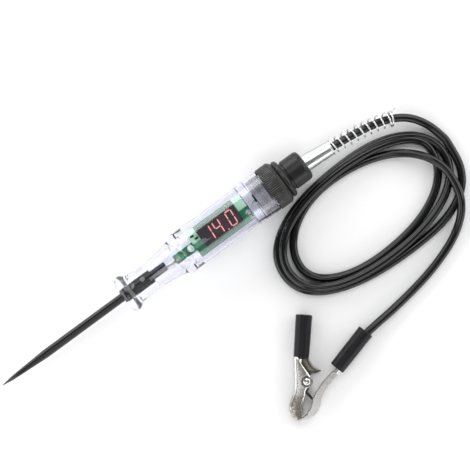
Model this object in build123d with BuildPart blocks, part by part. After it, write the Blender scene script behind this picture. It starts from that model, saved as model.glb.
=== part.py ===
from build123d import *
import os
from math import cos, pi, radians, sin, tan

# Circuit test light: a steel probe needle in a clear handle that holds a small voltage display, a knurled
# screw cap, and a loosely coiled test lead that ends in an alligator clip. Millimetres. +X runs along the
# handle from the needle's point to the cap, +Z is up, and the floor that everything lies on is z = 0.

os.makedirs("parts", exist_ok=True)

# ---- driving dimensions: the handle, measured along X and outwards from its axis ----
knurl_r = 11.75                      # the largest radius, so the handle's axis is this high above the floor
axis_z = knurl_r
tip_x = -93.75                       # point of the needle
nose_x = -18.75                      # front face of the clear body
hollow_x = -0.75                     # where the solid nose ends and the hollow begins
tube_x = 19.25                       # front of the display tube
collar_x = 57.75                     # front of the thicker collar around the cap's thread
body_end_x = 71.0                    # rear face of the clear body
cap_end_x = 93.75                    # rear face of the cap
seat_gap = 0.05                      # between the closed cap and the body

needle_r = 2.2
needle_point_r = 0.15
needle_taper_x = -66.75              # where the long taper reaches the full thickness
needle_groove_r = 1.9                # a short groove where the bare needle meets its seat
needle_groove = 0.6
needle_seat_r = 2.3                  # the slightly thicker end that is pressed into the nose
needle_end_x = 8.0
needle_grip = 0.05                   # how far the nose bites into the needle's seat
guard_r = 10.0
waist_r = 7.35
tube_r = 10.95
collar_r = 11.55
thread_bore_r = 10.1
thread_crest_r = 10.0
thread_depth = 0.45
thread_pitch = 1.0
thread_turns = 4

board_thick = 1.6
board_top = axis_z + 1.0
board_half_width = 7.4
board_rear_x = 58.0
display_size = (22.8, 10.5, 6.0)
display_mid_x = 41.1
digit_height = 7.4                   # between the middles of the top and bottom strokes
digit_width = 3.3
stroke = 0.6
digit_slant = 4.0

# ---- driving dimensions: the lead and its strain relief ----
cable_r = 2.1
lead_start = (84.0, 0.85, axis_z)
ferrule_tilt = 5.0                   # the ferrule leans a little to one side in the cap's hole
ferrule_length = 15.6
spring_r = 4.1
spring_wire = 0.85
coil_height = 8.6
coil_chamfer = 4.0

# The lead's free route: out of the ferrule, down to the floor and into the coil.
near_route = [
    lead_start,
    (104.0, -0.90, 11.75),
    (118.9, -2.3, 11.3),
    (132.0, -4.3, 9.8),
    (142.6, -7.4, 7.7),
    (150.8, -12.7, 5.2),
    (156.3, -21.0, 3.1),
    (158.9, -31.2, 2.2),
]
# Off the top of the coil, down to the floor and along it into the clip's sleeve.
far_route = [
    (149.9, -49.4, 6.4),
    (147.9, -59.6, 6.2),
    (143.1, -67.1, 4.6),
    (135.7, -73.1, 2.7),
    (126.1, -77.7, 2.15),
    (112.3, -81.9, 2.1),
    (97.6, -84.5, 2.15),
    (84.5, -86.1, 2.8),
    (74.0, -86.8, 3.7),
    (64.4, -88.0, 4.0),
]
# The coil is three loose oval turns. Its outer and inner edges each reach these four sides, and bulge by
# this much between them (1 is an ellipse, less is fuller).
coil_outside = [(161.1, -34.6), (110.0, -69.2), (50.1, -40.0), (112.0, -9.2)]
coil_inside = [(147.8, -34.0), (98.0, -58.5), (64.1, -41.0), (99.0, -17.7)]
outside_fullness = [0.75, 0.9, 0.9, 0.9]
inside_fullness = [1.0, 0.95, 1.0, 0.95]

# ---- driving dimensions: the clip, in its own plane with the pivot at the origin ----
clip_x, clip_y, clip_turn = 29.9, -89.0, -36.3
clip_mid_z = 4.0
sheet = 0.6
outer_channel = 7.2                  # height of the moving jaw's channel, which straddles the fixed jaw's
inner_channel = 5.5
pivot_r = 1.2
pivot_clearance = 0.05
sleeve_r = 4.0
sleeve_wall = 0.7
tab_r = 3.25

tool_axis = Axis((0, 0, axis_z), (1, 0, 0))
tool_plane = Plane(origin=(0, 0, axis_z), x_dir=(1, 0, 0), z_dir=(0, -1, 0))
clip_plane = Plane(
    origin=(clip_x, clip_y, 0),
    x_dir=(cos(radians(clip_turn)), sin(radians(clip_turn)), 0),
    z_dir=(0, 0, 1),
)


def save(part, name):
    part.label = name
    export_step(part, f"parts/{name}.step")


def turned(points):
    """Revolve a closed outline of (distance along X, radius) points about the handle's axis."""
    with BuildSketch(tool_plane) as half:
        with BuildLine():
            Polyline(*points, close=True)
        make_face()
    revolve(half.sketch, axis=tool_axis)


def cross_plane(x, y=0.0, z=axis_z):
    """A plane across the handle at x, whose own x is the handle's Y and whose own y is up."""
    return Plane(origin=(x, y, z), x_dir=(0, 1, 0), z_dir=(1, 0, 0))


def bend_radii(points):
    """One radius for each corner: 0.45 of the shorter run over the tangent of half the turn."""
    radii = []
    for before, corner, after in zip(points, points[1:], points[2:]):
        run_in = Vector(*corner) - Vector(*before)
        run_out = Vector(*after) - Vector(*corner)
        half_turn = radians(run_in.get_angle(run_out)) / 2
        radii.append(0.45 * min(run_in.length, run_out.length) / tan(half_turn))
    return radii


def cable_tube(points, name):
    """The lead's round section along straight runs joined by tangent arcs."""
    radii = bend_radii(points)
    print(name, "bend radii", [round(r, 1) for r in radii])
    with BuildPart() as tube:
        with BuildLine() as path:
            FilletPolyline(*points, radius=radii)
        with BuildSketch(Plane(origin=path.wires()[0] @ 0, z_dir=path.wires()[0] % 0)):
            Circle(cable_r)
        sweep(path=path.wires()[0])
    length = path.wires()[0].length
    ratio = tube.part.volume / (length * pi * cable_r**2)
    print(name, "length", round(length, 1), "volume ratio", round(ratio, 4))
    return tube.part


# ---------------------------------------------------------------- probe needle
with BuildPart() as probe_needle:
    turned([
        (tip_x, 0),
        (tip_x, needle_point_r),
        (tip_x + 6, 1.05),
        (needle_taper_x, needle_r),
        (nose_x, needle_r),
        (nose_x, needle_groove_r),
        (nose_x + needle_groove, needle_groove_r),
        (nose_x + needle_groove, needle_seat_r),
        (needle_end_x - 0.4, needle_seat_r),
        (needle_end_x, needle_seat_r - 0.4),
        (needle_end_x, 0),
    ])
save(probe_needle.part, "probe_needle")

# ---------------------------------------------------------------- clear housing
# One clear moulding: solid nose with a finger guard, hollow cone, rib, display tube and threaded collar.
keel_y, keel_thick, keel_depth, keel_length = 6.0, 1.0, 8.0, 26.0
nose_bore_r = needle_seat_r - needle_grip
with BuildPart() as clear_housing:
    with BuildSketch(tool_plane):
        with BuildLine():
            Polyline((nose_x, nose_bore_r), (nose_x, 7.4))
            ThreePointArc((nose_x, 7.4), (nose_x + 0.9, 9.3), (nose_x + 3.0, guard_r))
            Spline(
                (nose_x + 3.0, guard_r),
                (-13.2, 8.75),
                (-8.75, 7.85),
                (hollow_x - 3.0, waist_r),
                (1.25, 7.5),
                tangents=[(1, 0), (1, 0.09)],
            )
            Line((1.25, 7.5), (11.5, 8.85))
            ThreePointArc((11.5, 8.85), (14.0, 9.5), (15.6, 10.6))
            ThreePointArc((15.6, 10.6), (17.6, 11.25), (tube_x, tube_r))
            Polyline(
                (tube_x, tube_r),
                (collar_x, tube_r),
                (collar_x + 0.4, collar_r),
                (body_end_x - 0.4, collar_r),
            )
            Polyline(
                (body_end_x - 0.4, collar_r),
                (body_end_x, collar_r - 0.4),
                (body_end_x, thread_bore_r),
                (62.5, thread_bore_r),
                (62.2, 9.9),
                (24.0, 9.3),
                (20.0, 8.6),
                (12.5, 6.5),
                (hollow_x, 5.6),
                (hollow_x, nose_bore_r),
                (nose_x, nose_bore_r),
            )
        make_face()
    revolve(axis=tool_axis)
    # Two keels hold the board up from the tube's lower wall.
    with BuildSketch(Plane.XY.offset(board_top - board_thick)):
        with Locations((display_mid_x, keel_y), (display_mid_x, -keel_y)):
            Rectangle(keel_length, keel_thick)
    extrude(amount=-(board_top - board_thick - axis_z + keel_depth))
save(clear_housing.part, "clear_housing")

# ---------------------------------------------------------------- board and what is soldered to it
lead_pad = (15.2, -1.3)              # where the needle's lead meets the board's tongue
ground_pad = (56.4, -3.0)            # where the test lead's core meets the board's rear
pin_rows = 3.3
pin_columns = 6
pin_pitch = 2.54
indicator_at = (22.2, -0.5)
with BuildPart() as circuit_board:
    with BuildSketch(Plane.XY.offset(board_top - board_thick)):
        with Locations((19.5, -0.75)):
            Rectangle(12.5, 5.0)
        with Locations(((24.75 + board_rear_x) / 2, 0)):
            Rectangle(board_rear_x - 24.75, 2 * board_half_width)
        with Locations((display_mid_x, pin_rows), (display_mid_x, -pin_rows)):
            with GridLocations(pin_pitch, 1, pin_columns, 1):
                Circle(0.4, mode=Mode.SUBTRACT)
        with Locations(ground_pad):
            Circle(0.8, mode=Mode.SUBTRACT)
    extrude(amount=board_thick)
    fillet(circuit_board.edges().filter_by(Axis.Z).group_by(Axis.X)[0], 0.8)
save(circuit_board.part, "circuit_board")

display_base = board_top + 0.05
display_top = display_base + display_size[2]


def glyph_strokes(cell_x, lit, reach):
    """Seven-segment strokes of one digit, centred on cell_x; lit names the strokes that show."""
    half_h, half_w = digit_height / 2, digit_width / 2
    lean = tan(radians(digit_slant))
    long_stroke, short_stroke = half_h - 0.55, digit_width - 0.45
    places = {
        "top": (0, half_h, 0), "middle": (0, 0, 0), "bottom": (0, -half_h, 0),
        "upper_left": (-half_w, half_h / 2, 90), "lower_left": (-half_w, -half_h / 2, 90),
        "upper_right": (half_w, half_h / 2, 90), "lower_right": (half_w, -half_h / 2, 90),
    }
    for name in lit:
        x, y, turn = places[name]
        length = long_stroke if turn else short_stroke
        lean_turn = -digit_slant if turn else 0
        with Locations(Location((cell_x + x + y * lean, y - 0.15, 0), (0, 0, turn + lean_turn))):
            SlotOverall(length + reach, stroke + reach)


lit_digits = [
    (34.45, ["upper_right", "lower_right"]),
    (display_mid_x - 1.1, ["upper_left", "upper_right", "middle", "lower_right"]),
    (display_mid_x + 6.85, ["top", "bottom", "upper_left", "lower_left", "upper_right", "lower_right"]),
]
point_at = (43.8, -3.95)


def display_figures(reach=0.0):
    """The lit figures: a one, a four, a point and a nought."""
    for cell_x, lit in lit_digits:
        glyph_strokes(cell_x, lit, reach)
    with Locations(point_at):
        Circle(stroke * 0.55 + reach / 2)


window_depth = 0.5
with BuildPart() as display_case:
    with BuildSketch(Plane.XY.offset(display_base)):
        with Locations((display_mid_x, 0)):
            Rectangle(display_size[0], display_size[1])
    extrude(amount=display_size[2])
    chamfer(display_case.faces().sort_by(Axis.Z)[-1].edges(), 0.25)
    with BuildSketch(Plane.XY.offset(display_top)):
        display_figures()
    extrude(amount=-window_depth, mode=Mode.SUBTRACT)
save(display_case.part, "display_case")

with BuildPart() as display_digits:
    with BuildSketch(Plane.XY.offset(display_top - window_depth)):
        display_figures()
    extrude(amount=window_depth)
save(display_digits.part, "display_digits")

with BuildPart() as display_pins:
    with BuildSketch(Plane.XY.offset(board_top - board_thick - 1.2)):
        with Locations((display_mid_x, pin_rows), (display_mid_x, -pin_rows)):
            with GridLocations(pin_pitch, 1, pin_columns, 1):
                Circle(0.25)
    extrude(amount=board_thick + 1.2)
save(display_pins.part, "display_pins")

# A clear domed lamp in front of the display.
lamp_r = 1.6
with BuildPart() as indicator_lamp:
    with BuildSketch(Plane(origin=(*indicator_at, board_top), x_dir=(1, 0, 0), z_dir=(0, -1, 0))):
        with BuildLine():
            Polyline((0, 0), (lamp_r + 0.35, 0), (lamp_r + 0.35, 0.8), (lamp_r, 0.8), (lamp_r, 2.6))
            RadiusArc((lamp_r, 2.6), (0, 2.6 + lamp_r), -lamp_r)
            Line((0, 2.6 + lamp_r), (0, 0))
        make_face()
    revolve(axis=Axis((*indicator_at, board_top), (0, 0, 1)))
save(indicator_lamp.part, "indicator_lamp")

with BuildPart() as control_chip:
    with BuildSketch(Plane.XY.offset(board_top - board_thick - 1.5)):
        with Locations((47.0, 0)):
            Rectangle(4.9, 3.9)
    extrude(amount=1.5)
    chamfer(control_chip.faces().sort_by(Axis.Z)[0].edges(), 0.25)
    with BuildSketch(Plane.XY.offset(board_top - board_thick - 0.25)):
        with Locations((47.0, 2.3), (47.0, -2.3)):
            with GridLocations(1.27, 1, 4, 1):
                Rectangle(0.4, 0.9)
    extrude(amount=0.25)
save(control_chip.part, "control_chip")

resistor_places = [(18.3, 0.9), (18.3, -2.4), (26.6, 3.9), (26.6, -4.3), (28.0, 1.9)]
with BuildPart() as board_resistors:
    with BuildSketch(Plane.XY.offset(board_top)):
        with Locations(*resistor_places):
            Rectangle(2.0, 1.1)
    extrude(amount=0.55)
save(board_resistors.part, "board_resistors")

with BuildPart() as clamp_diodes:
    with BuildSketch(Plane.XY.offset(board_top - board_thick - 1.1)):
        with Locations((33.0, 2.0), (33.0, -2.2), (38.5, 0.2)):
            Rectangle(3.4, 1.7)
    extrude(amount=1.1)
    chamfer(clamp_diodes.faces().group_by(Axis.Z)[0].edges(), 0.3)
save(clamp_diodes.part, "clamp_diodes")

# Solder: a ring round the rear hole and a flat fillet beside it, and a mound on the tongue.
with BuildPart() as solder_joints:
    with BuildSketch(Plane.XY.offset(board_top)):
        with Locations(ground_pad):
            Circle(1.5)
            Circle(0.8, mode=Mode.SUBTRACT)
        with Locations((56.6, -6.1)):
            RegularPolygon(1.1, 3, rotation=90)
    extrude(amount=0.25)
save(solder_joints.part, "solder_joints")

# Twisted gilt lead from the needle's end to the board's tongue.
wire_r = 0.42
with BuildPart() as needle_lead:
    with BuildLine() as lead_line:
        FilletPolyline(
            (needle_end_x, -0.9, axis_z + 0.2),
            (10.4, -1.25, axis_z + 0.7),
            (12.6, -1.3, board_top + 0.75),
            (16.2, -1.3, board_top + wire_r),
            radius=2.0,
        )
    with BuildSketch(Plane(origin=lead_line.wires()[0] @ 0, z_dir=(1, 0, 0))):
        Circle(wire_r)
    sweep(path=lead_line.wires()[0])
save(needle_lead.part, "needle_lead")

# ---------------------------------------------------------------- cap
ring_x = body_end_x + seat_gap
thread_x = 65.4
seal_x = 70.4
seal_ring_r, seal_wire_r = 9.53, 0.48
bore_r = 5.4
cavity_r = 7.0
neck_r = thread_crest_r - thread_depth
flutes = 72
with BuildPart() as rear_cap:
    outline = [(63.5, cavity_r), (63.5, neck_r - 0.4), (63.9, neck_r), (thread_x, neck_r)]
    for turn in range(thread_turns):
        foot = thread_x + turn * thread_pitch
        outline += [(foot + 0.3, thread_crest_r), (foot + 0.55, thread_crest_r), (foot + 0.95, neck_r)]
    outline += [
        (seal_x - 0.6, neck_r),
        (seal_x - 0.6, seal_ring_r - seal_wire_r - 0.05),
        (ring_x, seal_ring_r - seal_wire_r - 0.05),
        (ring_x, knurl_r - 0.3),
        (ring_x + 0.3, knurl_r),
        (77.7, knurl_r),
        (79.1, 10.6),
        (79.4, 9.7),
        (79.8, 10.1),
        (80.4, 10.4),
        (81.2, 10.35),
        (82.0, 9.8),
        (82.4, 8.9),
        (82.5, 7.6),
        (83.4, 7.6),
        (83.7, 8.1),
        (cap_end_x - 2.0, 8.1),
        (cap_end_x - 0.6, 7.5),
        (cap_end_x, 6.1),
        (cap_end_x, bore_r),
        (78.0, bore_r),
        (78.0, cavity_r),
    ]
    turned(outline)
    with BuildSketch(cross_plane(ring_x - 0.1)):
        with PolarLocations(knurl_r + 0.05, flutes, start_angle=180 / flutes):
            Circle(0.3)
    extrude(amount=8.3, mode=Mode.SUBTRACT)
save(rear_cap.part, "rear_cap")

with BuildPart() as cap_seal_ring:
    with BuildSketch(tool_plane):
        with Locations((seal_x, seal_ring_r)):
            Circle(seal_wire_r)
    revolve(axis=tool_axis)
save(cap_seal_ring.part, "cap_seal_ring")

# ---------------------------------------------------------------- strain relief
ferrule_dir = Vector(cos(radians(ferrule_tilt)), -sin(radians(ferrule_tilt)), 0)
ferrule_plane = Plane(
    origin=(cap_end_x, 0, axis_z),
    x_dir=tuple(ferrule_dir),
    z_dir=(-sin(radians(ferrule_tilt)), -cos(radians(ferrule_tilt)), 0),
)
ferrule_bore_r = cable_r + 0.25
with BuildPart() as strain_relief_ferrule:
    with BuildSketch(ferrule_plane):
        with BuildLine():
            Polyline(
                (-7.5, ferrule_bore_r),
                (-7.5, 4.2),
                (-7.0, 4.45),
                (0, 4.45),
                (ferrule_length - 1.0, 3.75),
                (ferrule_length - 0.8, 3.9),
                (ferrule_length - 0.2, 3.9),
                (ferrule_length, 3.7),
                (ferrule_length, ferrule_bore_r),
                close=True,
            )
        make_face()
    revolve(axis=Axis((cap_end_x, 0, axis_z), tuple(ferrule_dir)))
save(strain_relief_ferrule.part, "strain_relief_ferrule")

# The open coil spring's envelope, a sleeve round the lead from the ferrule to the spring's last turn.
spring_route = [
    (cap_end_x + 15.8 * cos(radians(ferrule_tilt)), -15.8 * sin(radians(ferrule_tilt)), axis_z),
    (118.9, -2.2, 11.4),
    (126.0, -3.2, 10.6),
    (132.6, -4.5, 9.7),
    (139.2, -6.6, 8.4),
    (144.6, -9.3, 7.1),
]
with BuildPart() as strain_relief_spring:
    with BuildLine() as spring_line:
        FilletPolyline(*spring_route, radius=bend_radii(spring_route))
    with BuildSketch(Plane(origin=spring_line.wires()[0] @ 0, z_dir=spring_line.wires()[0] % 0)):
        Circle(spring_r)
        Circle(spring_r - spring_wire, mode=Mode.SUBTRACT)
    sweep(path=spring_line.wires()[0])
save(strain_relief_spring.part, "strain_relief_spring")

# A crimped collar keeps the lead from being pulled out of the ferrule.
with BuildPart() as lead_clamp:
    with BuildSketch(cross_plane(79.2, 0.85)):
        Circle(3.3)
        Circle(cable_r, mode=Mode.SUBTRACT)
    extrude(amount=3.6)
save(lead_clamp.part, "lead_clamp")

# The lead's own end inside the cap, and its bare core down to the board.
lead_tail_x = 62.5
with BuildPart() as lead_tail:
    with BuildSketch(cross_plane(lead_tail_x, 0.85)):
        Circle(cable_r)
    extrude(amount=lead_start[0] - 0.2 - lead_tail_x)
save(lead_tail.part, "lead_tail")

with BuildPart() as lead_core:
    with BuildLine() as core_line:
        FilletPolyline(
            (lead_tail_x, 0.4, axis_z + 0.6),
            (60.6, -0.6, axis_z + 1.2),
            (58.3, -2.1, board_top + 1.3),
            (ground_pad[0], ground_pad[1], board_top + 0.9),
            (ground_pad[0] - 0.4, ground_pad[1] - 0.1, board_top - 0.3),
            radius=0.6,
        )
    with BuildSketch(Plane(origin=core_line.wires()[0] @ 0, z_dir=(-1, 0, 0))):
        Circle(0.38)
    sweep(path=core_line.wires()[0])
save(lead_core.part, "lead_core")

# ---------------------------------------------------------------- test lead
near_tube = cable_tube(near_route, "test_lead_near")
far_tube = cable_tube(far_route, "test_lead_far")
save(near_tube, "test_lead_near")
save(far_tube, "test_lead_far")


def oval(reach, fullness):
    """Points round an oval that touches the four (x, y) reaches in turn: right, near, left, far."""
    steps = 8
    points = []
    for side in range(4):
        x0, y0 = reach[side]
        x1, y1 = reach[(side + 1) % 4]
        along_x = side % 2 == 1
        for step in range(steps):
            angle = radians(90 * step / steps)
            fade, grow = cos(angle) ** fullness[side], sin(angle) ** fullness[side]
            if along_x:
                points.append((x0 + (x1 - x0) * grow, y1 + (y0 - y1) * fade))
            else:
                points.append((x1 + (x0 - x1) * fade, y0 + (y1 - y0) * grow))
    return points


with BuildPart() as test_lead_coil:
    with BuildSketch(Plane.XY):
        with BuildLine():
            Spline(*oval(coil_outside, outside_fullness), periodic=True)
        make_face()
        with BuildLine():
            Spline(*oval(coil_inside, inside_fullness), periodic=True)
        make_face(mode=Mode.SUBTRACT)
    extrude(amount=coil_height)
    chamfer(test_lead_coil.faces().sort_by(Axis.Z)[-1].outer_wire().edges(), coil_chamfer)
    add(near_tube, mode=Mode.SUBTRACT)
    add(far_tube, mode=Mode.SUBTRACT)
save(test_lead_coil.part, "test_lead_coil")

# ---------------------------------------------------------------- clip
moving_back = [
    (-6.3, 11.0), (-6.1, 3.0), (-6.15, -4.5), (-7.9, -9.5), (-8.7, -13.0), (-7.5, -17.0), (-4.3, -19.8)
]
jaw_teeth = [
    (-1.6, -18.2), (-2.3, -17.3), (-1.4, -16.6), (-2.4, -15.6), (-1.6, -14.8), (-2.7, -13.8),
    (-2.1, -12.9), (-3.0, -12.0), (-1.9, -11.0), (-2.5, -10.2), (-1.3, -9.4), (-1.6, -8.6)
]
moving_front = [(-3.6, -19.2), *jaw_teeth, (-0.8, -7.6), (-0.9, -5.0), (0.0, -3.0)]
upper_rim = [(1.6, 3.1), (-1.25, 7.0), (-3.9, 11.0)]
lower_wing = [(1.75, 3.6), (6.25, 4.2), (7.75, 5.0), (5.75, 5.8), (3.5, 7.6), (1.25, 11.0)]
fixed_back = [
    (16.9, 5.1), (14.0, 1.7), (11.25, -1.75), (9.0, -5.0), (7.4, -8.5),
    (6.9, -11.5), (6.0, -14.3), (3.6, -17.0), (0.4, -18.9), (-2.9, -19.6)
]
fixed_teeth = [(-2.9, -19.0), (-1.9, -18.0), (-1.0, -18.2), (-0.6, -17.2), (0.3, -17.0), (0.6, -16.0)]
fixed_front = [
    *fixed_teeth, (2.1, -13.8), (3.0, -11.0), (3.5, -8.5), (4.5, -6.25),
    (6.25, -3.5), (8.75, 0.0), (11.5, 3.0), (13.1, 4.9)
]


def jaw_face(back, front):
    """The flat side of a jaw: a smooth back edge closed by a cut front edge."""
    with BuildLine() as edge:
        Spline(*back)
        Polyline(back[-1], *front, back[0])
    make_face(edge.edges())


def web_strip(back, front):
    """The jaw's folded back, one sheet thick along the back edge."""
    jaw_face(back, front)
    with BuildLine() as edge:
        Spline(*back)
    trace(edge.edges(), line_width=2 * sheet, mode=Mode.INTERSECT)


def handle_plane(start, end):
    """The plane across a handle at its start, and the handle's length to its end."""
    along = Vector(end[0] - start[0], end[1] - start[1], 0)
    across = Plane(origin=(*start, clip_mid_z), x_dir=(0, 0, 1), z_dir=tuple(along.normalized()))
    return clip_plane * across, along.length


def handle_tab(start, end):
    """Half a tube that the insulating sleeve grips, open towards the other handle."""
    plane, length = handle_plane(start, end)
    with BuildSketch(plane) as half_ring:
        Circle(tab_r)
        Circle(tab_r - sheet, mode=Mode.SUBTRACT)
        with Locations((0, -tab_r)):
            Rectangle(2 * tab_r, 2 * tab_r, mode=Mode.SUBTRACT)
    extrude(half_ring.sketch, amount=length)


moving_sleeve_ends = [(-2.7, 11.35), (-1.25, 33.4)]
fixed_sleeve_ends = [(15.25, 6.5), (29.95, 25.15)]

with BuildPart() as clip_moving_jaw:
    low = clip_mid_z - outer_channel / 2
    with BuildSketch(clip_plane.offset(low)):
        web_strip(moving_back, [*moving_front, *lower_wing])
    extrude(amount=outer_channel)
    for height, rim in ((low, lower_wing), (low + outer_channel - sheet, upper_rim)):
        with BuildSketch(clip_plane.offset(height)):
            jaw_face(moving_back, [*moving_front, *rim])
            Circle(3.2)
            Circle(pivot_r + pivot_clearance, mode=Mode.SUBTRACT)
        extrude(amount=sheet)
    handle_tab((-2.85, 8.6), (-1.4, 31.0))
save(clip_moving_jaw.part, "clip_moving_jaw")

ear_r = 2.6
ear_arm = [(-1.9, -1.6), (-1.6, -4.6), (-0.8, -5.9), (3.7, -10.2), (3.9, -9.1), (0.2, -5.3), (1.9, -1.6)]
with BuildPart() as clip_fixed_jaw:
    low = clip_mid_z - inner_channel / 2
    with BuildSketch(clip_plane.offset(low)):
        web_strip(fixed_back, fixed_front)
    extrude(amount=inner_channel)
    for height in (low, low + inner_channel - sheet):
        with BuildSketch(clip_plane.offset(height)):
            jaw_face(fixed_back, fixed_front)
            Circle(ear_r)
            with BuildLine():
                Polyline(*ear_arm, close=True)
            make_face()
            Circle(pivot_r, mode=Mode.SUBTRACT)
        extrude(amount=sheet)
    handle_tab((13.9, 4.8), (27.3, 21.8))
save(clip_fixed_jaw.part, "clip_fixed_jaw")

# A tubular rivet is the pivot; the moving jaw runs on it.
rivet_head_r, rivet_head, rivet_hole_r, rivet_length = 1.9, 0.34, 0.7, 7.96
rivet_base = clip_mid_z - rivet_length / 2
with BuildPart() as clip_pivot_rivet:
    for height in (rivet_base, rivet_base + rivet_length - rivet_head):
        with BuildSketch(clip_plane.offset(height)):
            Circle(rivet_head_r)
        extrude(amount=rivet_head)
    with BuildSketch(clip_plane.offset(rivet_base)):
        Circle(pivot_r)
    extrude(amount=rivet_length)
    with BuildSketch(clip_plane.offset(rivet_base)):
        Circle(rivet_hole_r)
    extrude(amount=rivet_length, mode=Mode.SUBTRACT)
save(clip_pivot_rivet.part, "clip_pivot_rivet")

# Torsion spring: turns of wire round the rivet, between the two jaws' cheeks.
coil_turns, coil_pitch, coil_mean_r, coil_wire_r = 3.5, 0.95, 2.05, 0.4
with BuildPart() as clip_spring:
    with BuildLine(clip_plane.offset(clip_mid_z - coil_turns * coil_pitch / 2)) as coil_line:
        Helix(coil_pitch, coil_turns * coil_pitch, coil_mean_r)
    with BuildSketch(Plane(origin=coil_line.wires()[0] @ 0, z_dir=coil_line.wires()[0] % 0)):
        Circle(coil_wire_r)
    sweep(path=coil_line.wires()[0], is_frenet=True)
save(clip_spring.part, "clip_spring")


def sleeve_tube(ends):
    """A soft plastic sleeve over a handle tab."""
    plane, length = handle_plane(*ends)
    with BuildPart() as sleeve:
        with BuildSketch(plane):
            Circle(sleeve_r)
            Circle(sleeve_r - sleeve_wall, mode=Mode.SUBTRACT)
        extrude(amount=length)
    return sleeve.part


save(sleeve_tube(moving_sleeve_ends), "clip_moving_sleeve")
save(sleeve_tube(fixed_sleeve_ends), "clip_fixed_sleeve")

# The lead's bare core, soldered into the fixed handle's tab.
core_end = clip_plane * Location((19.6, 12.1, clip_mid_z))
with BuildPart() as clip_lead_core:
    start = Vector(*far_route[-1]) + Vector(-0.3, 0, 0)
    end = core_end.position
    with BuildSketch(Plane(origin=start, z_dir=(end - start).normalized())):
        Circle(1.0)
    extrude(amount=(end - start).length)
save(clip_lead_core.part, "clip_lead_core")
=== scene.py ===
from math import cos, pi, radians, sin

import bpy
from mathutils import Matrix, Vector


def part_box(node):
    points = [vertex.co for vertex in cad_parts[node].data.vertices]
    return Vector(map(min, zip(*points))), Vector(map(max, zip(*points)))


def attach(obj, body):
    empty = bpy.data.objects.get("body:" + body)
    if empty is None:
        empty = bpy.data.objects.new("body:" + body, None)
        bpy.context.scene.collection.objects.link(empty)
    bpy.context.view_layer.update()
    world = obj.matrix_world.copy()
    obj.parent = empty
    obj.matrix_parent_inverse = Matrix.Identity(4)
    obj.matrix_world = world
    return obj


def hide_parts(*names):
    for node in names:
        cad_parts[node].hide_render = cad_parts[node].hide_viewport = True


# Looks for the circuit test light. Metres; +X runs from the needle's point to the cap, +Z is up, and the
# floor is z = 0. The object's lengths below are in millimetres, turned by mm() or MM, and the studio's are
# in metres.

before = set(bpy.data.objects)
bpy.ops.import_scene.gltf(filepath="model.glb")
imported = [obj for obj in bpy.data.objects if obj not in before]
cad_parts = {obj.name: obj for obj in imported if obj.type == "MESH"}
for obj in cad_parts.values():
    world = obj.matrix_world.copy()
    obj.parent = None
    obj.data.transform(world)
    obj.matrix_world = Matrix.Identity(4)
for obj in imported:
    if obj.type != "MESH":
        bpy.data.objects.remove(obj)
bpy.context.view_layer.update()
MM = 0.001
upwards = Vector((0, 0, 1))


def mm(*values):
    """A point given in millimetres, in metres."""
    return Vector(values) * MM


tool_low, tool_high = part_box("rear_cap")
axis_z = (tool_low.z + tool_high.z) / 2

# ------------------------------------------------------------------ camera
# Straight above, rolled so that the handle runs up to the right.
roll = radians(36.3)
view_width = 0.235
camera_height = 0.8
view_x, view_y = 0.04445, -0.0082
camera_data = bpy.data.cameras.new("camera")
camera_data.sensor_width = 36.0
camera_data.lens = camera_data.sensor_width * camera_height / view_width
camera_data.clip_start = 0.01
camera = bpy.data.objects.new("camera", camera_data)
camera_place = Matrix.Translation((view_x, view_y, axis_z + camera_height))
camera.matrix_world = camera_place @ Matrix.Rotation(-roll, 4, "Z")
bpy.context.scene.collection.objects.link(camera)
bpy.context.scene.camera = camera

# ------------------------------------------------------------------ the lead's route
cable_d = 4.2 * MM
near_route = [
    (84.0, 0.85, 11.75), (104.0, -0.90, 11.75), (118.9, -2.3, 11.3), (132.0, -4.3, 9.8),
    (142.6, -7.4, 7.7), (150.8, -12.7, 5.2), (156.3, -21.0, 3.1), (158.9, -31.2, 2.2),
]
over_the_coil = [
    (110.0, -15.3, 2.1), (120.5, -17.2, 2.1), (130.8, -20.9, 2.6), (139.5, -26.5, 4.7),
    (145.7, -33.6, 6.35), (149.2, -41.0, 6.5),
]
far_route = [
    (149.9, -49.4, 6.4), (147.9, -59.6, 6.2), (143.1, -67.1, 4.6), (135.7, -73.1, 2.7),
    (126.1, -77.7, 2.15), (112.3, -81.9, 2.1), (97.6, -84.5, 2.15), (84.5, -86.1, 2.8),
    (74.0, -86.8, 3.7), (64.4, -88.0, 4.0),
]
floor_z, on_top_z, crossing_z = 2.1, 5.45, 6.05
# Where each turn passes the coil's right, near, left and far sides: x, y and height.
turns = [
    [(158.9, -34.0, floor_z), (110.0, -67.0, floor_z), (52.2, -40.0, floor_z), (112.0, -11.2, floor_z)],
    [(154.5, -36.5, floor_z), (101.0, -63.6, on_top_z), (54.9, -40.0, on_top_z), (105.0, -12.8, crossing_z)],
    [(150.2, -31.5, floor_z), (98.0, -60.7, floor_z), (61.3, -41.0, floor_z), (99.0, -14.7, floor_z)],
]
# How full the quarter after each of those sides is: 1 is an ellipse's, and less is fuller.
fullness = [[0.74, 0.88, 0.87, 0.90], [0.93, 0.90, 0.95, 0.93], [0.93, 0.95, 1.0, 1.0]]
points_per_side = 6


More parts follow.
